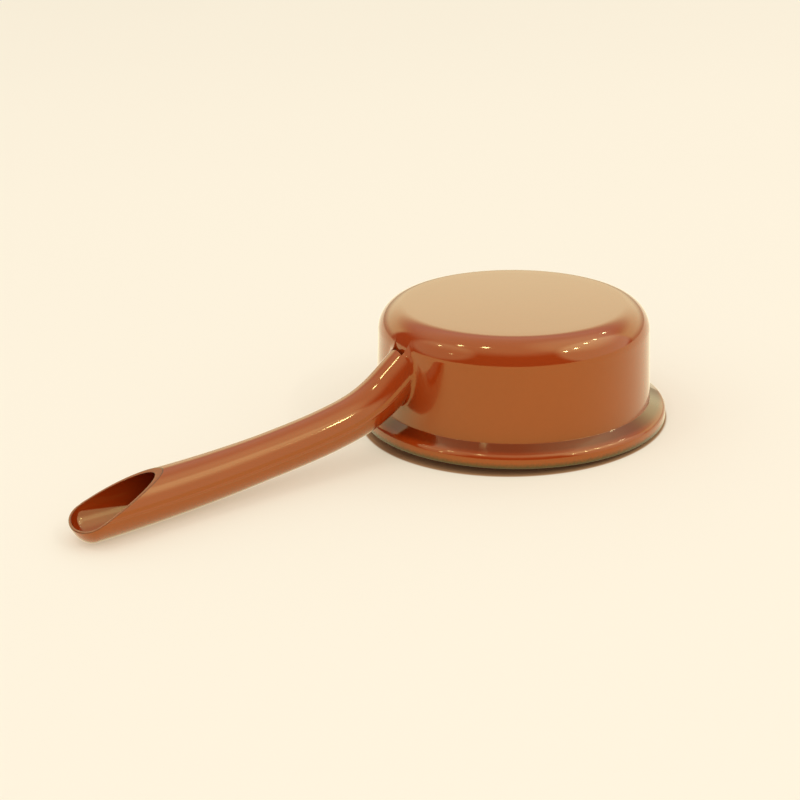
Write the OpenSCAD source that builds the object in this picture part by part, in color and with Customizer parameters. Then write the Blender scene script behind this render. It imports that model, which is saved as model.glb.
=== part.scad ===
// Enamelled steel saucepan with a hollow handle pressed in two halves.
// It lies mouth down: the origin is the centre of the base's outside face, +Z points out of the
// base, and the handle runs along -X. It is turned over for cooking.
// Every piece is sheet steel with its coat of enamel, so all thicknesses include the enamel.

/* [Vessel] */
// Depth from the outside face of the base to the edge of the rim
vessel_depth = 64.4; // [56:0.2:90]
// Outside radius of the wall where it meets the rounded base corner
wall_r = 75; // [60:0.5:110]
// How much wider the wall is at the lid ledge than at the base corner
wall_flare = 1.5; // [0.5:0.1:4]
// Outside radius of the rounded corner between base and wall
corner_r = 14.5; // [8:0.5:18]
// Thickness of the enamelled sheet
sheet_t = 1.4; // [1:0.1:2]

/* [Lid ledge and rim] */
// Depth of the seat that the ledge makes for a lid, on the outside
ledge_depth = 9.5; // [8.5:0.1:12]
// Outside radius of the crease where the wall turns out into the ledge
ledge_crease_r = 1.2; // [0.8:0.1:2.5]
// Width of the flat between the crease and the rounded outer edge
ledge_flat = 2.1; // [1:0.1:4]
// Outside radius of the ledge's rounded outer edge
ledge_edge_r = 5.5; // [3.5:0.1:6.5]

/* [Handle line] */
// Reach of the handle from the wall to its tip
handle_reach = 190; // [160:1:240]
// Depth below the base at which the middle of the tube meets the wall
foot_depth = 26.2; // [24:0.2:30]
// Slope of the tube where it leaves the wall, in degrees
foot_slope = 38.2; // [30:0.2:42]
// Length of the straight stretch at the foot
foot_straight = 10; // [4:0.5:20]
// Radius of the bend next to the foot
bend_r = 72; // [60:1:90]
// Slope at the end of that bend, in degrees
bend_slope = 14.4; // [12:0.2:18]
// Radius of the long sweep along the grip
sweep_r = 260; // [220:5:320]
// Slope at the end of the sweep, in degrees
sweep_slope = 8.5; // [6:0.5:10]
// Radius of the nearly straight end of the grip
grip_r = 830; // [600:10:1200]

/* [Handle tube] */
// Outside radius of the tube from the wall to where it starts to swell
foot_r = 11.8; // [9:0.1:13]
// Length of tube from the wall to where it starts to swell
swell_start = 90; // [60:1:110]
// Half height of the tube at the tip, before its nose rounds off
tip_height_r = 14.1; // [12:0.1:16]
// Half width of the tube at the tip, before its nose rounds off
tip_width_r = 15.6; // [13:0.1:18]
// Length over which the nose rounds off
nose_len = 10; // [7:0.5:16]
// Length of the oblique opening, from its start on the tube to the tip
opening_len = 50; // [40:1:70]
// Angle between the opening and the base, in degrees
opening_angle = 21.7; // [18:0.1:25]
// How far the edge of the opening bows up between its ends
opening_bow = 0.7; // [0:0.1:1.5]

/* [Vent slot and welds] */
// Width of the vent slot at the foot
vent_w = 10; // [6:0.5:13]
// Length of the vent slot along the tube
vent_len = 3.6; // [2:0.2:6]
// Leg of the foot weld along the tube and along the wall
foot_weld_leg = 2.8; // [1.5:0.1:4]
// Width of a side seam's weld on the outside of the tube
seam_w = 1.5; // [1:0.1:2.5]
// How far a side seam's weld stands proud of the tube
seam_crown = 0.25; // [0.1:0.05:0.6]

/* [Hidden] */

// Clearance between the saddle edge of the shells and the wall
foot_gap = 0.05;
// Clearance between a weld and the sheet that it joins
weld_gap = 0.02;
// Gap that the V between the two shells leaves on the inside of the tube
seam_root_w = 0.1;
// Step of the vent slot's two side walls round the tube
vent_side_w = 0.15;
// How the tube swells towards the tip: a power of the share of the swelling length
swell_power = 1.2;

enamel_brown = [0.60, 0.31, 0.17];
lathe_facets = 144;
profile_steps = 12;
shell_rings = 36;
side_cols = 6;
top_cols = 6;
front_cols = 18;
weld_rings = 40;
weld_arc_steps = 4;
halvings = 40;
deg_per_radian = 180 / PI;

// Vessel outline: heights are measured down from the base
base_r = wall_r - corner_r;
ledge_wall_r = wall_r + wall_flare;
crease_centre_r = ledge_wall_r + ledge_crease_r;
edge_centre_r = crease_centre_r + ledge_flat;
rim_r = edge_centre_r + ledge_edge_r;
ledge_down = vessel_depth - ledge_depth;
crease_down = ledge_down - ledge_crease_r;
edge_down = ledge_down + ledge_edge_r;
rim_round_r = sheet_t / 2;

// Handle line: its length along the curve up to the end of each stretch
bend_len = bend_r * (foot_slope - bend_slope) / deg_per_radian;
sweep_len = sweep_r * (bend_slope - sweep_slope) / deg_per_radian;
bend_end = foot_straight + bend_len;
sweep_end = bend_end + sweep_len;
foot_point = [wall_r, -foot_depth];
bend_point = foot_point + foot_straight * [cos(foot_slope), -sin(foot_slope)];
sweep_point = bend_point + arc_step(bend_r, foot_slope, bend_slope);
grip_point = sweep_point + arc_step(sweep_r, bend_slope, sweep_slope);
tip_slope = asin(sin(sweep_slope) - (wall_r + handle_reach - grip_point.x) / grip_r);
tip_end = sweep_end + grip_r * (sweep_slope - tip_slope) / deg_per_radian;
opening_start = tip_end - opening_len;
opening_point = tube_point(opening_start, 90, 0);

vent_angle = acos(vent_w / 2 / foot_r);
vent_inside_angle = acos(vent_w / 2 / (foot_r - sheet_t));

function mix(a, b, t) = a + (b - a) * t;

function arc_points(centre, r, from, to) =
    [for (k = [0 : profile_steps])
        let (a = mix(from, to, k / profile_steps))
        centre + r * [cos(a), sin(a)]];

// Root of a rising function between two lengths
function root(f, low, high, n = halvings) =
    let (middle = (low + high) / 2)
    n == 0 ? middle
    : f(middle) > 0 ? root(f, low, middle, n - 1)
    : root(f, middle, high, n - 1);

// Step along an arc of radius r that levels off from one slope to another, as [out, up]
function arc_step(r, slope_a, slope_b) =
    r * [sin(slope_a) - sin(slope_b), cos(slope_a) - cos(slope_b)];

function slope_at(len) =
    len < foot_straight ? foot_slope
    : len < bend_end ? foot_slope - (len - foot_straight) / bend_r * deg_per_radian
    : len < sweep_end ? bend_slope - (len - bend_end) / sweep_r * deg_per_radian
    : sweep_slope - (len - sweep_end) / grip_r * deg_per_radian;

// Point of the handle line, as [distance from the pan's axis, height]
function line_point(len) =
    let (a = slope_at(len))
    len < foot_straight ? foot_point + len * [cos(a), -sin(a)]
    : len < bend_end ? bend_point + arc_step(bend_r, foot_slope, a)
    : len < sweep_end ? sweep_point + arc_step(sweep_r, bend_slope, a)
    : grip_point + arc_step(grip_r, sweep_slope, a);

// Share of the swelling that a length along the handle line has reached
function swell(len) = pow(max(0, len - swell_start) / (tip_end - swell_start), swell_power);

// Share of the tube's radius that the nose leaves, for a surface set in from the outside
function nose(len, inset) =
    let (along = max(0, len - tip_end + nose_len) / (nose_len - inset))
    sqrt(max(0, 1 - along * along));

// Point of a surface of the tube: turn 0 is the left seam, 90 the side that faces the base's way
function tube_point(len, turn, inset) =
    let (
        share = nose(len, inset),
        side = (mix(foot_r, tip_width_r, swell(len)) - inset) * share * cos(turn),
        up = (mix(foot_r, tip_height_r, swell(len)) - inset) * share * sin(turn),
        a = slope_at(len),
        p = line_point(len) + up * [sin(a), cos(a)]
    )
    [-p.x, side, p.y];

// Outside radius of the vessel at a height
function wall_radius(z) =
    let (down = -z)
    down < corner_r ? base_r + sqrt(max(0, corner_r * corner_r - pow(corner_r - down, 2)))
    : down < crease_down ? mix(wall_r, ledge_wall_r, (down - corner_r) / (crease_down - corner_r))
    : crease_centre_r - sqrt(max(0, ledge_crease_r * ledge_crease_r - pow(down - crease_down, 2)));

// Length at which a line along the tube leaves the wall
function foot_end(turn, inset) =
    root(function (len)
            let (p = tube_point(len, turn, inset))
            norm([p.x, p.y]) - wall_radius(p.z) - foot_gap,
        -3 * foot_r, foot_straight + 3 * foot_r);

// Length at which a line along the tube meets the opening's surface
function mouth_end(turn, inset) =
    root(function (len)
            let (
                p = tube_point(len, turn, inset) - opening_point,
                above = p.z * cos(opening_angle) - p.x * sin(opening_angle),
                along = max(0, -p.x * cos(opening_angle) - p.z * sin(opening_angle)) / opening_len
            )
            above - 4 * opening_bow * along * (1 - along),
        tip_end - 2 * opening_len, tip_end - inset);

// Rings close up towards the mouth, where the nose rounds off
function ring_share(i) = sin(90 * (i - 1) / (shell_rings - 1));

// One line of points along the tube, from the wall or the vent slot to the mouth
function tube_line(turn, inset, set_back = 0) =
    let (
        start = foot_end(turn, inset) + set_back,
        weld_end = start + foot_weld_leg + weld_gap,
        end = mouth_end(turn, inset)
    )
    [for (i = [0 : shell_rings])
        tube_point(i == 0 ? start : mix(weld_end, end, ring_share(i)), turn, inset)];

// Solid through rings of points: each ring is a closed loop, and the ends are closed as strips
// across a sheet's section or as fans from each loop's first point
module lofted(rings, strip_ends) {
    n = len(rings[0]);
    last = (len(rings) - 1) * n;
    sides = [for (i = [0 : len(rings) - 2], k = [0 : n - 1])
        let (a = i * n + k, b = i * n + (k + 1) % n)
        each [[a, a + n, b], [b, a + n, b + n]]];
    strips = [for (k = [0 : n / 2 - 2]) each [[k, k + 1, n - 2 - k], [k, n - 2 - k, n - 1 - k]]];
    fans = [for (k = [1 : n - 2]) [0, k, k + 1]];
    first_end = strip_ends ? strips : fans;
    last_end = [for (f = first_end) [last + f[2], last + f[1], last + f[0]]];
    polyhedron([for (ring = rings) each ring], concat(sides, first_end, last_end));
}

function turned(lines) = [for (i = [0 : len(lines[0]) - 1]) [for (line = lines) line[i]]];

function reversed(list) = [for (i = [len(list) - 1 : -1 : 0]) list[i]];

// Half angle that a width takes on a surface of the tube at the foot
function half_angle(w, inset) = asin(w / 2 / (foot_r - inset));

// Lines of the back shell's outside or inside, from the left seam over the vent slot to the right
function back_lines(inset, seam_a, vent_a) =
    let (
        slot_a = vent_a + 2 * half_angle(vent_side_w, inset),
        left = [for (k = [0 : side_cols]) tube_line(mix(seam_a, vent_a, k / side_cols), inset)],
        slot = [for (k = [0 : top_cols])
            tube_line(mix(slot_a, 180 - slot_a, k / top_cols), inset, vent_len)],
        right = [for (k = [0 : side_cols])
            tube_line(mix(180 - vent_a, 180 - seam_a, k / side_cols), inset)]
    )
    concat(left, slot, right);

function front_lines(inset, seam_a) =
    [for (k = [0 : front_cols]) tube_line(mix(180 + seam_a, 360 - seam_a, k / front_cols), inset)];

module vessel() {
    outside = concat(
        [[0, 0]],
        arc_points([base_r, -corner_r], corner_r, 90, 0),
        arc_points([crease_centre_r, -crease_down], ledge_crease_r, 180, 270),
        arc_points([edge_centre_r, -edge_down], ledge_edge_r, 90, 0)
    );
    rim = arc_points([rim_r - rim_round_r, rim_round_r - vessel_depth], rim_round_r, 0, -180);
    inside = concat(
        arc_points([edge_centre_r, -edge_down], ledge_edge_r - sheet_t, 0, 90),
        arc_points([crease_centre_r, -crease_down], ledge_crease_r + sheet_t, 270, 180),
        arc_points([base_r, -corner_r], corner_r - sheet_t, 0, 90),
        [[0, -sheet_t]]
    );
    color(enamel_brown)
        rotate_extrude($fn = lathe_facets)
        polygon(concat(outside, rim, inside));
}

module handle_back_shell() {
    seam_a = half_angle(seam_w, 0);
    root_a = half_angle(seam_root_w, sheet_t);
    outside = back_lines(0, seam_a, vent_angle);
    inside = back_lines(sheet_t, root_a, vent_inside_angle);
    color(enamel_brown)
        lofted(turned(concat(outside, reversed(inside))), true);
}

module handle_front_shell() {
    seam_a = half_angle(seam_w, 0);
    root_a = half_angle(seam_root_w, sheet_t);
    outside = front_lines(0, seam_a);
    inside = front_lines(sheet_t, root_a);
    color(enamel_brown)
        lofted(turned(concat(outside, reversed(inside))), true);
}

// Weld that fills the V between the shells from the foot weld to the mouth
module seam_weld(turn) {
    seam_a = half_angle(seam_w - 2 * weld_gap, 0);
    root_a = half_angle(seam_root_w - 2 * weld_gap, sheet_t);
    lines = [
        tube_line(turn - root_a, sheet_t),
        tube_line(turn - seam_a, 0),
        tube_line(turn, -seam_crown),
        tube_line(turn + seam_a, 0),
        tube_line(turn + root_a, sheet_t)
    ];
    rings = turned(lines);
    color(enamel_brown)
        lofted([for (i = [1 : shell_rings]) rings[i]], false);
}

module seam_weld_left() {
    seam_weld(0);
}

module seam_weld_right() {
    seam_weld(180);
}

// Hollow fillet round the saddle joint, from one side of the vent slot under the tube to the other
module foot_weld() {
    rings = [for (k = [0 : weld_rings])
        let (
            turn = mix(vent_angle, -180 - vent_angle, k / weld_rings),
            corner = tube_point(foot_end(turn, -weld_gap), turn, -weld_gap),
            hollow = [for (j = [0 : weld_arc_steps])
                let (
                    a = 90 * j / weld_arc_steps,
                    inset = -weld_gap - foot_weld_leg * (1 - sin(a)),
                    start = foot_end(turn, inset) + foot_weld_leg * (1 - cos(a))
                )
                tube_point(start, turn, inset)]
        )
        concat([corner], hollow)];
    color(enamel_brown)
        lofted(rings, false);
}

vessel();
handle_back_shell();
handle_front_shell();
seam_weld_left();
seam_weld_right();
foot_weld();
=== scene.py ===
import math

import bpy
import numpy as np
from mathutils import Matrix, Vector


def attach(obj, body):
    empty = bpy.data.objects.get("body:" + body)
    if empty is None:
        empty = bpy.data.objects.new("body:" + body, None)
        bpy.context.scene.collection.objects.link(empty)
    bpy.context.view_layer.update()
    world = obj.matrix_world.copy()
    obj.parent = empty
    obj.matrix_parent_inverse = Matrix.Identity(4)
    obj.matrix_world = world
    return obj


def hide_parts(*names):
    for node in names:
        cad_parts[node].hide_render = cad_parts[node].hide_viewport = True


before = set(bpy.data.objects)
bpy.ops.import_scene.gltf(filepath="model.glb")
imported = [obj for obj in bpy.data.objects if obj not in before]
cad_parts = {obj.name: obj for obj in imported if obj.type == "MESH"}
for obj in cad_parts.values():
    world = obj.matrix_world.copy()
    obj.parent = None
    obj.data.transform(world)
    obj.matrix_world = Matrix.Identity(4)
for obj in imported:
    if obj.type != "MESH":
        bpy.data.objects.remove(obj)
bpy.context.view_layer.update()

MM = 0.001

# Vessel, with heights measured down from the outside of its base
VESSEL_DEPTH = 64.4 * MM
WALL_R = 75 * MM
WALL_FLARE = 1.5 * MM
CORNER_R = 14.5 * MM
SHEET_T = 1.4 * MM

# Lid ledge: tight crease at the foot of the wall, fall outwards, rounded edge, upright of the rim
RIM_R = 85.3 * MM
LEDGE_CREASE_R = 0.3 * MM
LEDGE_SLOPE = math.radians(25)
LEDGE_EDGE_R = 3.0 * MM
RIM_UPRIGHT = 4.5 * MM

# Line of the handle: straight foot, tight bend, long sweep, nearly straight grip
HANDLE_REACH = 190 * MM
FOOT_DEPTH = 26.2 * MM
FOOT_SLOPE = math.radians(38.2)
FOOT_STRAIGHT = 10 * MM
BEND_R = 72 * MM
BEND_SLOPE = math.radians(14.4)
SWEEP_R = 260 * MM
SWEEP_SLOPE = math.radians(8.5)
GRIP_R = 830 * MM

# Tube of the handle, and the opening cut obliquely through its end
FOOT_R = 11.8 * MM
SWELL_START = 90 * MM
SWELL_POWER = 1.2
TIP_HEIGHT_R = 14.1 * MM
TIP_WIDTH_R = 15.6 * MM
NOSE_LEN = 10 * MM
OPENING_LEN = 50 * MM
OPENING_ANGLE = math.radians(21.7)
OPENING_BOW = 0.7 * MM

# Vent slot and welds
VENT_W = 10 * MM
VENT_LEN = 3.6 * MM
VENT_SIDE_W = 0.15 * MM
FOOT_GAP = 0.05 * MM
FOOT_WELD_LEG = 2.8 * MM
FOOT_WELD_SKIRT = 0.7 * MM
FOOT_WELD_SINK = 0.01 * MM
FOOT_WELD_ROOT = 0.3 * MM
# Unevenness of that weld: share of its leg, waves round the tube, and where they start
FOOT_WELD_WAVES = ((0.05, 7, 0), (0.03, 17, 1))
SEAM_W = 1.5 * MM
SEAM_CROWN = 0.25 * MM
SEAM_ROOT_W = 0.1 * MM
# The bead flows past its width, its sides sink into the shells, and it starts inside the foot weld
SEAM_OVERLAP = 1.25
SEAM_SINK = 0.02 * MM
SEAM_START = 0.5 * FOOT_WELD_LEG

# Rounding of the cut edges, and how far in from them the enamel has run thin
MOUTH_LIP = 0.55 * MM
FOOT_LIP = 0.3 * MM
CUT_THIN_REACH = 0.7 * MM
RIM_THIN_REACH = 0.8 * MM

# Fineness of the dressed meshes
LATHE_FACETS = 288
BASE_STEPS = 8
CORNER_STEPS = 32
LEDGE_STEPS = 20
TUBE_RINGS = 150
SHELL_LINES = 61
VENT_LINES = 21
BESIDE_VENT_LINES = 16
BEAD_LINES = 15
LIP_STEPS = 5
FOOT_WELD_RINGS = 144
FOOT_WELD_STEPS = 18
HALVINGS = 40
SHARP_BEND = math.radians(38)

# Vessel outline
BASE_R = WALL_R - CORNER_R
CREASE_CENTRE_R = WALL_R + WALL_FLARE + LEDGE_CREASE_R
EDGE_CENTRE_R = RIM_R - LEDGE_EDGE_R
EDGE_DOWN = VESSEL_DEPTH - RIM_UPRIGHT
# The ledge is tangent to the round of its edge below it and to the crease above it
CREASE_DOWN = EDGE_DOWN - ((LEDGE_EDGE_R + LEDGE_CREASE_R) / math.cos(LEDGE_SLOPE)
                           + (EDGE_CENTRE_R - CREASE_CENTRE_R) * math.tan(LEDGE_SLOPE))
LEDGE_TURN = 90 - math.degrees(LEDGE_SLOPE)
RIM_ROUND_R = SHEET_T / 2


def arc(centre_r, centre_down, radius, start, end, steps):
    """Points of an arc in the vessel's half section, as rows of radius and height."""
    a = np.radians(np.linspace(start, end, steps + 1))
    return np.stack([centre_r + radius * np.cos(a), -centre_down + radius * np.sin(a)], 1)


def flat(r_from, r_to, height, steps):
    """Points strictly between two radii at one height."""
    r = np.linspace(r_from, r_to, steps + 2)[1:-1]
    return np.stack([r, np.full(len(r), height)], 1)


def vessel_section():
    """The sheet's outline from the middle of the base round the rim and back inside."""
    return np.concatenate([
        flat(0, BASE_R, 0, BASE_STEPS),
        arc(BASE_R, CORNER_R, CORNER_R, 90, 0, CORNER_STEPS),
        arc(CREASE_CENTRE_R, CREASE_DOWN, LEDGE_CREASE_R, 180, 180 + LEDGE_TURN, LEDGE_STEPS),
        arc(EDGE_CENTRE_R, EDGE_DOWN, LEDGE_EDGE_R, LEDGE_TURN, 0, LEDGE_STEPS),
        arc(RIM_R - RIM_ROUND_R, VESSEL_DEPTH - RIM_ROUND_R, RIM_ROUND_R, 0, -180, LEDGE_STEPS),
        arc(EDGE_CENTRE_R, EDGE_DOWN, LEDGE_EDGE_R - SHEET_T, 0, LEDGE_TURN, LEDGE_STEPS),
        arc(CREASE_CENTRE_R, CREASE_DOWN, LEDGE_CREASE_R + SHEET_T, 180 + LEDGE_TURN, 180, LEDGE_STEPS),
        arc(BASE_R, CORNER_R, CORNER_R - SHEET_T, 0, 90, CORNER_STEPS),
        flat(BASE_R, 0, -SHEET_T, BASE_STEPS),
    ])


# Handle tube
def arc_step(radius, slope_a, slope_b):
    """Step outwards and upwards along an arc that levels off from one slope to another."""
    return radius * np.stack([np.sin(slope_a) - np.sin(slope_b), np.cos(slope_a) - np.cos(slope_b)], -1)


BEND_END = FOOT_STRAIGHT + BEND_R * (FOOT_SLOPE - BEND_SLOPE)
SWEEP_END = BEND_END + SWEEP_R * (BEND_SLOPE - SWEEP_SLOPE)
FOOT_POINT = np.array([WALL_R, -FOOT_DEPTH])
FOOT_DIRECTION = np.array([math.cos(FOOT_SLOPE), -math.sin(FOOT_SLOPE)])
BEND_POINT = FOOT_POINT + FOOT_STRAIGHT * FOOT_DIRECTION
SWEEP_POINT = BEND_POINT + arc_step(BEND_R, FOOT_SLOPE, BEND_SLOPE)
GRIP_POINT = SWEEP_POINT + arc_step(SWEEP_R, BEND_SLOPE, SWEEP_SLOPE)
TIP_SLOPE = math.asin(math.sin(SWEEP_SLOPE) - (WALL_R + HANDLE_REACH - GRIP_POINT[0]) / GRIP_R)
TIP_END = SWEEP_END + GRIP_R * (SWEEP_SLOPE - TIP_SLOPE)


def tube_slope(length):
    """Slope of the handle's middle line, levelling off towards the tip."""
    return np.select(
        [length < FOOT_STRAIGHT, length < BEND_END, length < SWEEP_END],
        [FOOT_SLOPE + 0 * length, FOOT_SLOPE - (length - FOOT_STRAIGHT) / BEND_R,
         BEND_SLOPE - (length - BEND_END) / SWEEP_R],
        SWEEP_SLOPE - (length - SWEEP_END) / GRIP_R)


def tube_line(length):
    """Point of the handle's middle line, as distance from the vessel's axis and height."""
    slope = tube_slope(length)
    length = length[..., None]
    return np.where(
        length < FOOT_STRAIGHT, FOOT_POINT + length * FOOT_DIRECTION,
        np.where(length < BEND_END, BEND_POINT + arc_step(BEND_R, FOOT_SLOPE, slope),
                 np.where(length < SWEEP_END, SWEEP_POINT + arc_step(SWEEP_R, BEND_SLOPE, slope),
                          GRIP_POINT + arc_step(GRIP_R, SWEEP_SLOPE, slope))))


def tube_point(length, turn, inset):
    """Point of the tube: turn 0 is the seam at +Y, a quarter turn on faces the base's way."""
    length, turn, inset = np.broadcast_arrays(length * 1.0, turn, inset)
    swell = (np.maximum(0, length - SWELL_START) / (TIP_END - SWELL_START)) ** SWELL_POWER
    along = np.maximum(0, length - TIP_END + NOSE_LEN) / (NOSE_LEN - inset)
    nose = np.sqrt(np.maximum(0, 1 - along ** 2))
    side = (FOOT_R + (TIP_WIDTH_R - FOOT_R) * swell - inset) * nose * np.cos(turn)
    up = (FOOT_R + (TIP_HEIGHT_R - FOOT_R) * swell - inset) * nose * np.sin(turn)
    slope = tube_slope(length)
    line = tube_line(length)
    return np.stack([-line[..., 0] - up * np.sin(slope), side, line[..., 1] + up * np.cos(slope)], -1)


def wall_radius(height):
    """Outside radius of the vessel at a height."""
    down = -height
    corner = BASE_R + np.sqrt(np.maximum(0, CORNER_R ** 2 - (CORNER_R - down) ** 2))
    wall = WALL_R + WALL_FLARE * (down - CORNER_R) / (CREASE_DOWN - CORNER_R)
    crease = CREASE_CENTRE_R - np.sqrt(np.maximum(0, LEDGE_CREASE_R ** 2 - (down - CREASE_DOWN) ** 2))
    return np.select([down < CORNER_R, down < CREASE_DOWN], [corner, wall], crease)


def halve(rising, low, high):
    """Root of a rising function, for a whole row of lines at once."""
    for _ in range(HALVINGS):
        middle = (low + high) / 2
        above = rising(middle) > 0
        low, high = np.where(above, low, middle), np.where(above, middle, high)
    return (low + high) / 2


def foot_end(turn, inset, gap=FOOT_GAP):
    """Length at which a line along the tube leaves the wall."""
    zero = 0 * (turn + inset)

    def outside(length):
        p = tube_point(length, turn, inset)
        return np.hypot(p[..., 0], p[..., 1]) - wall_radius(p[..., 2]) - gap

    return halve(outside, zero - 3 * FOOT_R, zero + FOOT_STRAIGHT + 3 * FOOT_R)


OPENING_POINT = tube_point(np.array(TIP_END - OPENING_LEN), math.pi / 2, 0)


def mouth_end(turn, inset):
    """Length at which a line along the tube meets the opening."""
    zero = 0 * (turn + inset)

    def past(length):
        p = tube_point(length, turn, inset) - OPENING_POINT
        above = p[..., 2] * math.cos(OPENING_ANGLE) - p[..., 0] * math.sin(OPENING_ANGLE)
        along = -p[..., 0] * math.cos(OPENING_ANGLE) - p[..., 2] * math.sin(OPENING_ANGLE)
        share = np.maximum(0, along) / OPENING_LEN
        return above - 4 * OPENING_BOW * share * (1 - share)

    return halve(past, zero + TIP_END - 2 * OPENING_LEN, zero + TIP_END - inset)


def half_angle(width, inset):
    """Half the angle that a width takes on the tube at the foot."""
    return math.asin(width / 2 / (FOOT_R - inset))


VENT_ANGLE = math.acos(VENT_W / 2 / FOOT_R)
VENT_INSIDE_ANGLE = math.acos(VENT_W / 2 / (FOOT_R - SHEET_T))


def make_piece(name, points, faces, thin):
    """A mesh piece in the row frame, smooth apart from its sharp bends."""
    mesh = bpy.data.meshes.new(name)
    mesh.from_pydata([tuple(p) for p in points], [], faces)
    mesh.validate()
    mesh.shade_smooth()
    mesh.set_sharp_from_angle(angle=SHARP_BEND)
    near_edge = mesh.attributes.new("thin", "FLOAT", "POINT")
    near_edge.data.foreach_set("value", np.asarray(thin, np.float32))
    piece = bpy.data.objects.new(name, mesh)
    bpy.context.scene.collection.objects.link(piece)
    return piece


def lathe(name, section, thin):
    """The section turned round the vertical axis, with a pole at each end."""
    rings, n = len(section), LATHE_FACETS
    a = np.linspace(0, 2 * math.pi, n, endpoint=False)
    points = np.stack([np.outer(section[:, 0], np.cos(a)), np.outer(section[:, 0], np.sin(a)),
                       np.repeat(section[:, 1:], n, 1)], -1).reshape(-1, 3)
    poles = [(0, 0, section[0, 1]), (0, 0, section[-1, 1])]
    first, last, k = rings * n, rings * n + 1, np.arange(n)
    faces = [(first, i, (i + 1) % n) for i in range(n)]
    for r in range(rings - 1):
        a0, a1 = r * n + k, r * n + (k + 1) % n
        faces += list(zip(a0.tolist(), (a0 + n).tolist(), (a1 + n).tolist(), a1.tolist()))
    end = (rings - 1) * n
    faces += [(last, end + (i + 1) % n, end + i) for i in range(n)]
    return make_piece(name, np.concatenate([points, poles]), faces, np.append(np.repeat(thin, n), [0, 0]))


def loft(name, loops, thin):
    """Closed skin over columns of points; each column runs out along the sheet and back inside it."""
    columns, n = loops.shape[:2]
    line_n = TUBE_RINGS + 1
    foot_n = 2 * LIP_STEPS
    faces = []
    for c in range(columns - 1):
        for k in range(n):
            a, b = c * n + k, c * n + (k + 1) % n
            faces.append((a, b, b + n, a + n))
    cap = [tuple(range(line_n - 1, n - line_n + 1))]
    cap += [(k, k + 1, n - 2 - foot_n - k, n - 1 - foot_n - k) for k in range(line_n - 1)]
    cap.append((0, *range(n - 1 - foot_n, n)))
    last = (columns - 1) * n
    faces += [tuple(reversed(f)) for f in cap] + [tuple(last + k for k in f) for f in cap]
    return make_piece(name, loops.reshape(-1, 3), faces, thin.reshape(-1))


def rounded(line_end, corner, other, reach):
    """Points that round off a corner of the sheet, from one face to the other."""
    away = other - corner
    width = np.linalg.norm(away, axis=-1, keepdims=True)
    far = corner + away / width * np.minimum(reach, width / 2)
    t = np.linspace(0, 1, LIP_STEPS + 1)[1:, None, None]
    return (1 - t) ** 2 * line_end + 2 * t * (1 - t) * corner + t ** 2 * far


def set_in(end, turn, inset, reach, sign):
    """Length at which a line is that far from its own end."""
    corner = tube_point(end, turn, inset)

    def nearer(step):
        return np.linalg.norm(tube_point(end - sign * step, turn, inset) - corner, axis=-1) - reach

    step = halve(nearer, 0 * end, 0 * end + 4 * reach)
    return end - sign * step


def sheet_strip(out_turn, in_turn, out_inset, set_back):
    """Columns of a strip of sheet from the wall to the mouth, rounded where it is cut."""
    share = np.sin(np.linspace(0, math.pi / 2, TUBE_RINGS + 1))[:, None]
    sides = []
    for turn, inset in ((out_turn, out_inset), (in_turn, SHEET_T + 0 * in_turn)):
        start = foot_end(turn, inset) + set_back
        end = mouth_end(turn, inset)
        low, high = set_in(start, turn, inset, FOOT_LIP, -1), set_in(end, turn, inset, MOUTH_LIP, 1)
        sides.append((tube_point(low + (high - low) * share, turn, inset),
                      tube_point(start, turn, inset), tube_point(end, turn, inset)))
    (out, out_foot, out_mouth), (inside, in_foot, in_mouth) = sides
    mouth_a = rounded(out[-1], out_mouth, in_mouth, MOUTH_LIP)
    mouth_b = rounded(inside[-1], in_mouth, out_mouth, MOUTH_LIP)[::-1]
    foot_a = rounded(inside[0], in_foot, out_foot, FOOT_LIP)
    foot_b = rounded(out[0], out_foot, in_foot, FOOT_LIP)[::-1]
    column = np.concatenate([out, mouth_a, mouth_b, inside[::-1], foot_a, foot_b])
    near = np.minimum(np.linalg.norm(column - out_mouth, axis=-1),
                      np.linalg.norm(column - in_mouth, axis=-1))
    return column.transpose(1, 0, 2), np.exp(-near / CUT_THIN_REACH).T


def across_slot(start, vent, inset):
    """Turns of the back shell's lines: close beside the slot's two sides, and over it between them."""
    side = 2 * half_angle(VENT_SIDE_W, inset)
    return np.concatenate([np.linspace(start, vent, BESIDE_VENT_LINES),
                           np.linspace(vent + side, math.pi - vent - side, VENT_LINES),
                           np.linspace(math.pi - vent, math.pi - start, BESIDE_VENT_LINES)])


def handle_back_shell():
    """Half shell on top as the pan lies, with the vent slot at its foot."""
    out_turn = across_slot(half_angle(SEAM_W, 0), VENT_ANGLE, 0)
    in_turn = across_slot(half_angle(SEAM_ROOT_W, SHEET_T), VENT_INSIDE_ANGLE, SHEET_T)
    beside = np.zeros(BESIDE_VENT_LINES)
    set_back = np.concatenate([beside, np.full(VENT_LINES, VENT_LEN), beside])
    columns, thin = sheet_strip(out_turn, in_turn, 0 * out_turn, set_back)
    return loft("handle_back_shell_enamelled", columns, thin)


def handle_front_shell():
    """Half shell underneath as the pan lies, with the closed spoon-shaped nose."""
    seam, root = half_angle(SEAM_W, 0), half_angle(SEAM_ROOT_W, SHEET_T)
    out_turn = np.linspace(math.pi + seam, 2 * math.pi - seam, SHELL_LINES)
    in_turn = np.linspace(math.pi + root, 2 * math.pi - root, SHELL_LINES)
    columns, thin = sheet_strip(out_turn, in_turn, 0 * out_turn, 0)
    return loft("handle_front_shell_enamelled", columns, thin)


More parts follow.
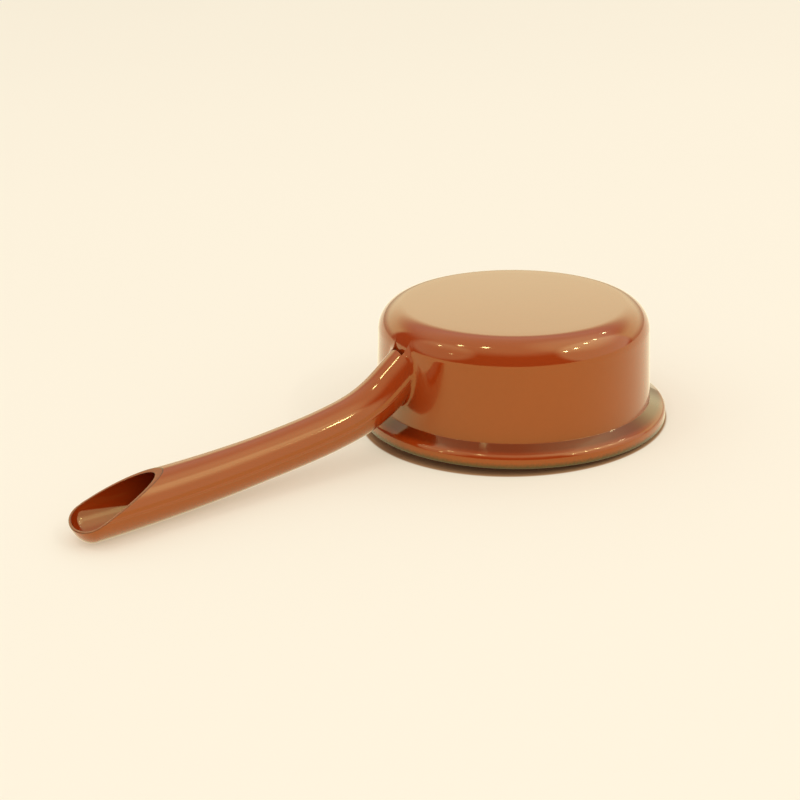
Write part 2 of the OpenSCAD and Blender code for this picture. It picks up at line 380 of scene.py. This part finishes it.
def seam_weld(side, turn):
    """Weld bead along one side of the tube, crowned and flowing into both shells."""
    share = np.linspace(-1, 1, BEAD_LINES)
    over = half_angle(SEAM_W, 0) * SEAM_OVERLAP
    root = half_angle(SEAM_ROOT_W, SHEET_T)
    crown = SEAM_CROWN * (0.5 + 0.5 * np.cos(share * math.pi)) - SEAM_SINK * np.abs(share)
    columns, thin = sheet_strip(turn + over * share, turn + root * share, -crown, SEAM_START)
    return loft(f"seam_weld_{side}_enamelled", columns, thin)


def foot_weld():
    """Hollow fillet of weld round the saddle joint, open at the vent slot."""
    turn = np.linspace(VENT_ANGLE, -math.pi - VENT_ANGLE, FOOT_WELD_RINGS + 1)[:, None]
    a = np.linspace(0, math.pi / 2, FOOT_WELD_STEPS + 1)
    leg = FOOT_WELD_LEG * (1 + sum(size * np.sin(waves * turn + start)
                                   for size, waves, start in FOOT_WELD_WAVES))
    inset = -leg * (1 - np.sin(a))
    fillet = tube_point(foot_end(turn, inset) + leg * (1 - np.cos(a)), turn, inset)
    skirt = -leg - FOOT_WELD_SKIRT
    up_wall = tube_point(foot_end(turn, skirt, 0), turn, skirt)
    down_tube = tube_point(foot_end(turn, 0 * leg) + leg + FOOT_WELD_SKIRT, turn, FOOT_WELD_SINK)
    root = tube_point(foot_end(turn, FOOT_WELD_ROOT + 0 * leg, -FOOT_WELD_ROOT), turn, FOOT_WELD_ROOT)
    loops = np.concatenate([root, up_wall, fillet, down_tube], 1)
    n = loops.shape[1]
    faces = [(r * n + k, r * n + (k + 1) % n, (r + 1) * n + (k + 1) % n, (r + 1) * n + k)
             for r in range(FOOT_WELD_RINGS) for k in range(n)]
    faces += [tuple(range(n - 1, -1, -1)), tuple(FOOT_WELD_RINGS * n + k for k in range(n))]
    thin = np.zeros(n * (FOOT_WELD_RINGS + 1))
    return make_piece("foot_weld_enamelled", loops.reshape(-1, 3), faces, thin)


def vessel():
    """Bowl, ledge and rim in one piece of sheet, with its enamel thin round the rim."""
    section = vessel_section()
    rim = np.array([RIM_R - RIM_ROUND_R, RIM_ROUND_R - VESSEL_DEPTH])
    from_edge = np.maximum(0, np.linalg.norm(section - rim, axis=1) - RIM_ROUND_R)
    return lathe("vessel_enamelled", section, np.exp(-from_edge / RIM_THIN_REACH))


def new_group(name, given, puts_out):
    """Empty shader group of plain numbers: what it is given, with defaults, and what it puts out."""
    group = bpy.data.node_groups.new(name, "ShaderNodeTree")
    for label, default in given.items():
        socket = group.interface.new_socket(name=label, in_out="INPUT", socket_type="NodeSocketFloat")
        socket.default_value = default
    for label in puts_out:
        group.interface.new_socket(name=label, in_out="OUTPUT", socket_type="NodeSocketFloat")
    return group, group.nodes.new("NodeGroupInput"), group.nodes.new("NodeGroupOutput")


def add(tree, kind, links=None, **settings):
    """New node with its settings and input values; an input may also be another node's output."""
    node = tree.nodes.new(kind)
    for key, value in settings.items():
        setattr(node, key, value)
    for key, value in (links or {}).items():
        if isinstance(value, bpy.types.NodeSocket):
            tree.links.new(value, node.inputs[key])
        else:
            node.inputs[key].default_value = value
    return node


def maths(tree, operation, a, b=0.0, c=0.0):
    """Result of one sum on values or outputs."""
    return add(tree, "ShaderNodeMath", {0: a, 1: b, 2: c}, operation=operation).outputs[0]


def mix_colour(tree, share, a, b):
    """Colour between two, by a share from 0 to 1."""
    node = add(tree, "ShaderNodeMix", data_type="RGBA", clamp_factor=True)
    for index, value in ((0, share), (6, a), (7, b)):
        if isinstance(value, bpy.types.NodeSocket):
            tree.links.new(value, node.inputs[index])
        else:
            node.inputs[index].default_value = value
    return node.outputs[2]


def fade(tree, value, start, end, low=0.0, high=1.0):
    """Smooth step of a value from one level to another."""
    return add(tree, "ShaderNodeMapRange",
               {"Value": value, "From Min": start, "From Max": end, "To Min": low, "To Max": high},
               interpolation_type="SMOOTHSTEP").outputs[0]


def from_axis(tree, where):
    """Distance of a place from the pan's axis."""
    across = add(tree, "ShaderNodeVectorMath", {0: where, 1: (1, 1, 0)}, operation="MULTIPLY").outputs[0]
    return add(tree, "ShaderNodeVectorMath", {0: across}, operation="LENGTH").outputs["Value"]


def object_place(group):
    """Place on the part, in metres of the row frame."""
    return add(group, "ShaderNodeTexCoord").outputs["Object"]


def orange_peel_group():
    """Gentle waves that enamel keeps from firing: a height, in units of its depth."""
    finer, fine_share = 3.7, 0.15
    group, given, out = new_group("orange_peel", {"Wave Length": 4 * MM}, ["Height"])
    where = object_place(group)
    scale = maths(group, "DIVIDE", 1.0, given.outputs["Wave Length"])
    fine_scale = maths(group, "MULTIPLY", scale, finer)
    broad = add(group, "ShaderNodeTexNoise", {"Vector": where, "Scale": scale, "Detail": 1.0})
    fine = add(group, "ShaderNodeTexNoise", {"Vector": where, "Scale": fine_scale, "Detail": 0.0})
    height = maths(group, "MULTIPLY_ADD", fine.outputs[0], fine_share, broad.outputs[0])
    group.links.new(height, out.inputs["Height"])
    return group


def kiln_shade_group():
    """Slow drift of the brown and small cloudy mottles in it, both from 0 to 1."""
    finer = 9.0
    group, given, out = new_group("kiln_shade", {"Cloud Size": 30 * MM}, ["Drift", "Mottle"])
    where = object_place(group)
    scale = maths(group, "DIVIDE", 1.0, given.outputs["Cloud Size"])
    fine_scale = maths(group, "MULTIPLY", scale, finer)
    drift = add(group, "ShaderNodeTexNoise", {"Vector": where, "Scale": scale, "Detail": 2.0})
    mottle = add(group, "ShaderNodeTexNoise", {"Vector": where, "Scale": fine_scale, "Detail": 4.0})
    group.links.new(drift.outputs[0], out.inputs["Drift"])
    group.links.new(mottle.outputs[0], out.inputs["Mottle"])
    return group


def thin_edge_group():
    """Mask of the enamel that has run thin on cut edges, broken up by noise."""
    speck_scale, speck_depth = 700.0, 0.5
    starts, full = 0.35, 0.95
    group, given, out = new_group("thin_edge", {"Reach": 1.0}, ["Mask"])
    near = add(group, "ShaderNodeAttribute", attribute_name="thin").outputs["Fac"]
    speck = add(group, "ShaderNodeTexNoise",
                {"Vector": object_place(group), "Scale": speck_scale, "Detail": 3.0})
    broken = maths(group, "MULTIPLY_ADD", speck.outputs[0], speck_depth, -speck_depth / 2)
    mask = maths(group, "MULTIPLY_ADD", near, given.outputs["Reach"], broken)
    soft = add(group, "ShaderNodeMapRange", {"Value": mask, "From Min": starts, "From Max": full})
    group.links.new(soft.outputs[0], out.inputs["Mask"])
    return group


# Painted shade on the ledge: a darker brown that sets in at the wall's foot, ends towards the rim, and fades
# out just above the crease
LEDGE_SHADE_BEGINS = (WALL_R + WALL_FLARE - 0.1 * MM, WALL_R + WALL_FLARE + 0.3 * MM)
LEDGE_SHADE_ENDS = (EDGE_CENTRE_R - 1.5 * MM, RIM_R - 1.0 * MM)
LEDGE_SHADE_TOP = (0.8 * MM - CREASE_DOWN, -CREASE_DOWN)


def ledge_painted_shade_group():
    """Mask of the ledge below the wall, where shade is painted into the enamel as a darker brown."""
    group, given, out = new_group("ledge_painted_shade", {"Amount": 1.0}, ["Mask"])
    where = object_place(group)
    away = from_axis(group, where)
    height = add(group, "ShaderNodeSeparateXYZ", {0: where}).outputs["Z"]
    ring = maths(group, "MULTIPLY", fade(group, away, *LEDGE_SHADE_BEGINS), fade(group, away, *LEDGE_SHADE_ENDS, 1.0, 0.0))
    ring = maths(group, "MULTIPLY", ring, fade(group, height, *LEDGE_SHADE_TOP))
    group.links.new(maths(group, "MULTIPLY", ring, given.outputs["Amount"]), out.inputs["Mask"])
    return group


GROUPS = {"peel": orange_peel_group(), "shade": kiln_shade_group(), "edge": thin_edge_group(),
          "painted_shade": ledge_painted_shade_group()}

# Enamel
DEEP_BROWN = (0.310, 0.034, 0.003, 1)
CLEAR_BROWN = (0.350, 0.042, 0.005, 1)
# Painted shade: the darker brown of the ledge below the wall
PAINTED_SHADE_BROWN = (0.170, 0.020, 0.003, 1)
EDGE_BROWN = (0.060, 0.018, 0.007, 1)
MOTTLE_SHARE = 0.4
DRIFT_SHARE = 0.6
ENAMEL_ROUGH = 0.05
MOTTLE_ROUGH = 0.04
EDGE_ROUGH = 0.15
ENAMEL_IOR = 1.65
ENAMEL_TINT = (1, 0.95, 0.42, 1)


def use(tree, group, **values):
    """One of the shared groups, placed with its own values."""
    node = tree.nodes.new("ShaderNodeGroup")
    node.node_tree = GROUPS[group]
    for key, value in values.items():
        node.inputs[key.replace("_", " ")].default_value = value
    return node


def enamel(name, wave_length, wave_depth, painted_shade_amount, thin_reach):
    """Glossy brown vitreous enamel."""
    material = bpy.data.materials.new(name)
    material.use_nodes = True
    tree = material.node_tree
    shader = tree.nodes["Principled BSDF"]
    shade = use(tree, "shade")
    edge = use(tree, "edge", Reach=thin_reach).outputs["Mask"]
    painted_shade = use(tree, "painted_shade", Amount=painted_shade_amount).outputs["Mask"]
    drift = maths(tree, "MULTIPLY", shade.outputs["Drift"], DRIFT_SHARE)
    amount = maths(tree, "MULTIPLY_ADD", shade.outputs["Mottle"], MOTTLE_SHARE, drift)
    # Painted shade: the brown turns darker on the ledge below the wall
    brown = mix_colour(tree, painted_shade, mix_colour(tree, amount, DEEP_BROWN, CLEAR_BROWN), PAINTED_SHADE_BROWN)
    tree.links.new(mix_colour(tree, edge, brown, EDGE_BROWN), shader.inputs["Base Color"])
    rough = maths(tree, "MULTIPLY_ADD", shade.outputs["Mottle"], MOTTLE_ROUGH, ENAMEL_ROUGH)
    tree.links.new(maths(tree, "MULTIPLY_ADD", edge, EDGE_ROUGH, rough), shader.inputs["Roughness"])
    peel = use(tree, "peel", Wave_Length=wave_length)
    bump = add(tree, "ShaderNodeBump", {"Height": peel.outputs["Height"], "Strength": 1.0,
                                        "Distance": wave_depth})
    tree.links.new(bump.outputs[0], shader.inputs["Normal"])
    shader.inputs["IOR"].default_value = ENAMEL_IOR
    shader.inputs["Specular Tint"].default_value = ENAMEL_TINT
    return material


SHEET_ENAMEL = enamel("sheet_enamel", wave_length=5 * MM, wave_depth=0.004 * MM, painted_shade_amount=0.9, thin_reach=1.0)
WELD_ENAMEL = enamel("weld_enamel", wave_length=3 * MM, wave_depth=0.010 * MM, painted_shade_amount=0.9, thin_reach=1.0)

for piece, node, slot_name, material in (
        (vessel(), "vessel", "enamel", SHEET_ENAMEL),
        (handle_back_shell(), "handle_back_shell", "enamel", SHEET_ENAMEL),
        (handle_front_shell(), "handle_front_shell", "enamel", SHEET_ENAMEL),
        (seam_weld("left", 0.0), "seam_weld_left", "weld_enamel", WELD_ENAMEL),
        (seam_weld("right", math.pi), "seam_weld_right", "weld_enamel", WELD_ENAMEL),
        (foot_weld(), "foot_weld", "weld_enamel", WELD_ENAMEL)):
    piece.data.materials.append(material)
    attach(piece, "root")
    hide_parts(node)


# The studio's own axes: the camera looks along +Y, and the handle points to its left and nearer
STUDIO_TURN = math.radians(33)
TO_PART = Matrix.Rotation(-STUDIO_TURN, 4, "Z")

CAMERA_ELEVATION = math.radians(20.775)
CAMERA_ROLL = math.radians(-1.117)
CAMERA_DISTANCE = 850.94 * MM
CAMERA_SIDE = -63.76 * MM
CAMERA_RISE = 5.444 * MM
LENS_MM = 67.5
SENSOR_MM = 36

right = Vector((1, 0, 0))
up = Vector((0, math.sin(CAMERA_ELEVATION), math.cos(CAMERA_ELEVATION)))
back = Vector((0, -math.cos(CAMERA_ELEVATION), math.sin(CAMERA_ELEVATION)))
rolled_right = right * math.cos(CAMERA_ROLL) + up * math.sin(CAMERA_ROLL)
rolled_up = up * math.cos(CAMERA_ROLL) - right * math.sin(CAMERA_ROLL)
place = back * CAMERA_DISTANCE + rolled_right * CAMERA_SIDE + rolled_up * CAMERA_RISE

camera = bpy.data.objects.new("camera", bpy.data.cameras.new("camera"))
camera.data.lens = LENS_MM
camera.data.sensor_width = SENSOR_MM
turned = Matrix((rolled_right, rolled_up, back)).transposed().to_4x4()
camera.matrix_world = TO_PART @ Matrix.Translation(place) @ turned
camera.location = TO_PART @ place - Vector((0, 0, VESSEL_DEPTH))
bpy.context.scene.collection.objects.link(camera)
bpy.context.scene.camera = camera

# The pan lies on the far side of its rim and on the end of its handle
rim_rest = np.array([RIM_R - RIM_ROUND_R, -VESSEL_DEPTH])
handle = bpy.data.objects["handle_front_shell_enamelled"].data
under = np.zeros(len(handle.vertices) * 3)
handle.vertices.foreach_get("co", under)
under = under.reshape(-1, 3)
FLOOR_SLOPE = float(np.max((rim_rest[1] - under[:, 2]) / (rim_rest[0] - under[:, 0])))


def studio(x, y, z):
    """Point of the studio, from the middle of the pan on the floor, in the row frame."""
    p = TO_PART @ Vector((x, y, 0))
    return Vector((p.x, p.y, z - VESSEL_DEPTH + FLOOR_SLOPE * (p.x - rim_rest[0])))


# Floor: the colour that takes light, darker in its clouds, with a painted brown shade where the pan stands
# over it
FLOOR_HALF_WIDTH = 8.0
FLOOR_COLOUR = (0.56, 0.54, 0.50, 1)
CLOUD_SCALE = 1.3
CLOUD_SHARE = 0.97
PAINTED_SHADE_UNDER_PAN = (0.56, 0.31, 0.15, 1)
# It adds a glow of its own, as the camera sees it and as the enamel mirrors it
SEEN_GLOW = (0.43, 0.37, 0.255, 1)
MIRRORED_GLOW = (0.88, 0.84, 0.50, 1)
# Distance from the pan's axis over which each glow sets in; over the first, the painted brown shade under
# the pan also gives way to the pale floor
SEEN_FROM = (85.3 * MM, 86.8 * MM)
MIRRORED_FROM = (79 * MM, 84 * MM)

# The room as the camera sees it, and the light that it sheds evenly on everything
BACKDROP_SEEN = (1, 0.89, 0.745, 1)
ROOM_LIGHT = 0.88
ROOM_WHITE = (1, 0.98, 0.95, 1)

# The room as the enamel mirrors it, by direction: dark, with soft bright places
ROOM_DARK = 0.1
# Soft places: azimuth, elevation, where each is full, where it ends, and how bright it is
SOFT_PLACES = (
    (0, 84, 30, 62, 1.15), (104, 25, 30, 38, 1.5), (95, 55, 10, 35, 0.9), (-108, 28, 22, 32, 1.0))
# A pale wall behind, between two azimuths and up to an elevation, each with half its blur
BACK_LEFT = -55
BACK_RIGHT = 70
BACK_SIDE_BLUR = 3
BACK_TOP = 32
BACK_TOP_BLUR = 10
BACK_GLOW = 1.85
BACK_COLOUR = (0.96, 1, 0.66, 1)
# Near the floor it has only this share of its glow, and it brightens between two elevations
BACK_LOW = 0.4
BACK_BRIGHTENS = (2, 15)

# Small lamps round the pan: azimuth, elevation, watts, radius
LAMP_DISTANCE = 2.2
LAMP_CENTRE = 50 * MM
LAMP_COLOUR = (1, 0.93, 0.82)
SMALL_LAMPS = (
    (-98, 43, 2, 0.03), (-103, 60, 5, 0.07), (-128, 70, 8, 0.08), (-121, 27, 2, 0.03),
    (132, 42, 7, 0.05), (118, 45, 7, 0.05), (96, 50, 4, 0.05), (79, 49, 3, 0.05), (52, 45, 3, 0.05))


def floor():
    """Large pale table under the pan, which takes its shadow."""
    corners = [studio(x * FLOOR_HALF_WIDTH, y * FLOOR_HALF_WIDTH, 0)
               for x, y in ((-1, -1), (1, -1), (1, 1), (-1, 1))]
    mesh = bpy.data.meshes.new("floor")
    mesh.from_pydata([tuple(c) for c in corners], [], [(0, 1, 2, 3)])
    obj = bpy.data.objects.new("floor", mesh)
    bpy.context.scene.collection.objects.link(obj)
    material = bpy.data.materials.new("pale_table")
    material.use_nodes = True
    tree = material.node_tree
    tree.nodes.clear()
    where = add(tree, "ShaderNodeTexCoord").outputs["Object"]
    ray = add(tree, "ShaderNodeLightPath")
    to_camera, to_mirror = ray.outputs["Is Camera Ray"], ray.outputs["Is Glossy Ray"]
    away = from_axis(tree, where)
    outside = fade(tree, away, *SEEN_FROM)

    cloud = add(tree, "ShaderNodeTexNoise", {"Vector": where, "Scale": CLOUD_SCALE, "Detail": 2.0})
    dim = tuple(CLOUD_SHARE * v for v in FLOOR_COLOUR[:3]) + (1,)
    pale = mix_colour(tree, cloud.outputs[0], dim, FLOOR_COLOUR)
    # Painted shade: brown under the pan, giving way to the pale floor outside its rim
    near = mix_colour(tree, outside, PAINTED_SHADE_UNDER_PAN, pale)
    # What it sheds on the pan comes off its colour and glow taken together
    whole = tuple(a + b for a, b in zip(FLOOR_COLOUR[:3], SEEN_GLOW[:3])) + (1,)
    shown = maths(tree, "MAXIMUM", to_camera, to_mirror)
    diffuse = add(tree, "ShaderNodeBsdfDiffuse", {"Color": mix_colour(tree, shown, whole, near)})

    seen = maths(tree, "MULTIPLY", outside, to_camera)
    mirrored = maths(tree, "MULTIPLY", fade(tree, away, *MIRRORED_FROM), to_mirror)
    glow = mix_colour(tree, to_camera, MIRRORED_GLOW, SEEN_GLOW)
    shine = add(tree, "ShaderNodeEmission", {"Color": glow, "Strength": maths(tree, "ADD", seen, mirrored)})
    both = add(tree, "ShaderNodeAddShader", {0: diffuse.outputs[0], 1: shine.outputs[0]})
    tree.links.new(both.outputs[0], add(tree, "ShaderNodeOutputMaterial").inputs["Surface"])
    obj.data.materials.append(material)


def direction(azimuth, elevation):
    """Unit direction in the studio: azimuth 0 is straight behind the pan, 90 to its right."""
    a, e = math.radians(azimuth), math.radians(elevation)
    return Vector((math.sin(a) * math.cos(e), math.cos(a) * math.cos(e), math.sin(e)))


def toward(azimuth, elevation):
    """The same direction in the row frame."""
    return tuple(TO_PART.to_3x3() @ direction(azimuth, elevation))


def small_lamp(name, azimuth, elevation, watts, radius):
    """Round lamp that shows as a small highlight in the enamel."""
    data = bpy.data.lights.new(name, "POINT")
    data.energy = watts
    data.color = LAMP_COLOUR
    data.shadow_soft_size = radius
    obj = bpy.data.objects.new(name, data)
    x, y, z = LAMP_DISTANCE * direction(azimuth, elevation)
    obj.location = studio(x, y, z + LAMP_CENTRE)
    obj.visible_camera = False
    bpy.context.scene.collection.objects.link(obj)


def dot(tree, a, b):
    """How far one direction goes along another, from -1 to 1."""
    return add(tree, "ShaderNodeVectorMath", {0: a, 1: b}, operation="DOT_PRODUCT").outputs["Value"]


def edge_of(tree, value, degrees, blur):
    """Mask that is full on one side of an angle: below it, or above it with a negative blur."""
    return fade(tree, value, math.radians(degrees + blur), math.radians(degrees - blur))


def mirrored_room(tree, where):
    """What the enamel mirrors: soft places in the dark, and the pale wall behind."""
    soft = ROOM_DARK
    for azimuth, elevation, full, gone, glow in SOFT_PLACES:
        near = dot(tree, where, toward(azimuth, elevation))
        place_glow = fade(tree, near, math.cos(math.radians(gone)), math.cos(math.radians(full)), 0.0, glow)
        soft = maths(tree, "ADD", soft, place_glow)
    height = dot(tree, where, (0, 0, 1))
    aside = maths(tree, "ARCTAN2", dot(tree, where, toward(90, 0)), dot(tree, where, toward(0, 0)))
    below = edge_of(tree, maths(tree, "ARCSINE", height), BACK_TOP, BACK_TOP_BLUR)
    right_of = edge_of(tree, aside, BACK_LEFT, -BACK_SIDE_BLUR)
    left_of = edge_of(tree, aside, BACK_RIGHT, BACK_SIDE_BLUR)
    card = maths(tree, "MULTIPLY", below, maths(tree, "MULTIPLY", right_of, left_of))
    dim_to, full_from = (math.sin(math.radians(v)) for v in BACK_BRIGHTENS)
    glow = fade(tree, height, dim_to, full_from, BACK_GLOW * BACK_LOW, BACK_GLOW)
    places = add(tree, "ShaderNodeBackground", {"Color": ROOM_WHITE, "Strength": soft})
    wall = add(tree, "ShaderNodeBackground", {"Color": BACK_COLOUR, "Strength": glow})
    return add(tree, "ShaderNodeMixShader", {0: card, 1: places.outputs[0], 2: wall.outputs[0]})


def room():
    """World that each kind of ray sees in its own way."""
    world = bpy.data.worlds.new("room")
    bpy.context.scene.world = world
    world.use_nodes = True
    tree = world.node_tree
    tree.nodes.clear()
    ray = add(tree, "ShaderNodeLightPath")
    mirrored = mirrored_room(tree, add(tree, "ShaderNodeTexCoord").outputs["Generated"])
    even = add(tree, "ShaderNodeBackground", {"Color": ROOM_WHITE, "Strength": ROOM_LIGHT})
    unseen = add(tree, "ShaderNodeMixShader", {0: ray.outputs["Is Glossy Ray"], 1: even.outputs[0],
                                               2: mirrored.outputs[0]})
    seen = add(tree, "ShaderNodeBackground", {"Color": BACKDROP_SEEN, "Strength": 1.0})
    pick = add(tree, "ShaderNodeMixShader", {0: ray.outputs["Is Camera Ray"], 1: unseen.outputs[0],
                                             2: seen.outputs[0]})
    tree.links.new(pick.outputs[0], add(tree, "ShaderNodeOutputWorld").inputs["Surface"])


floor()
room()
for number, lamp in enumerate(SMALL_LAMPS, 1):
    small_lamp(f"small_lamp_{number}", *lamp)

bpy.context.scene.view_settings.view_transform = "Standard"
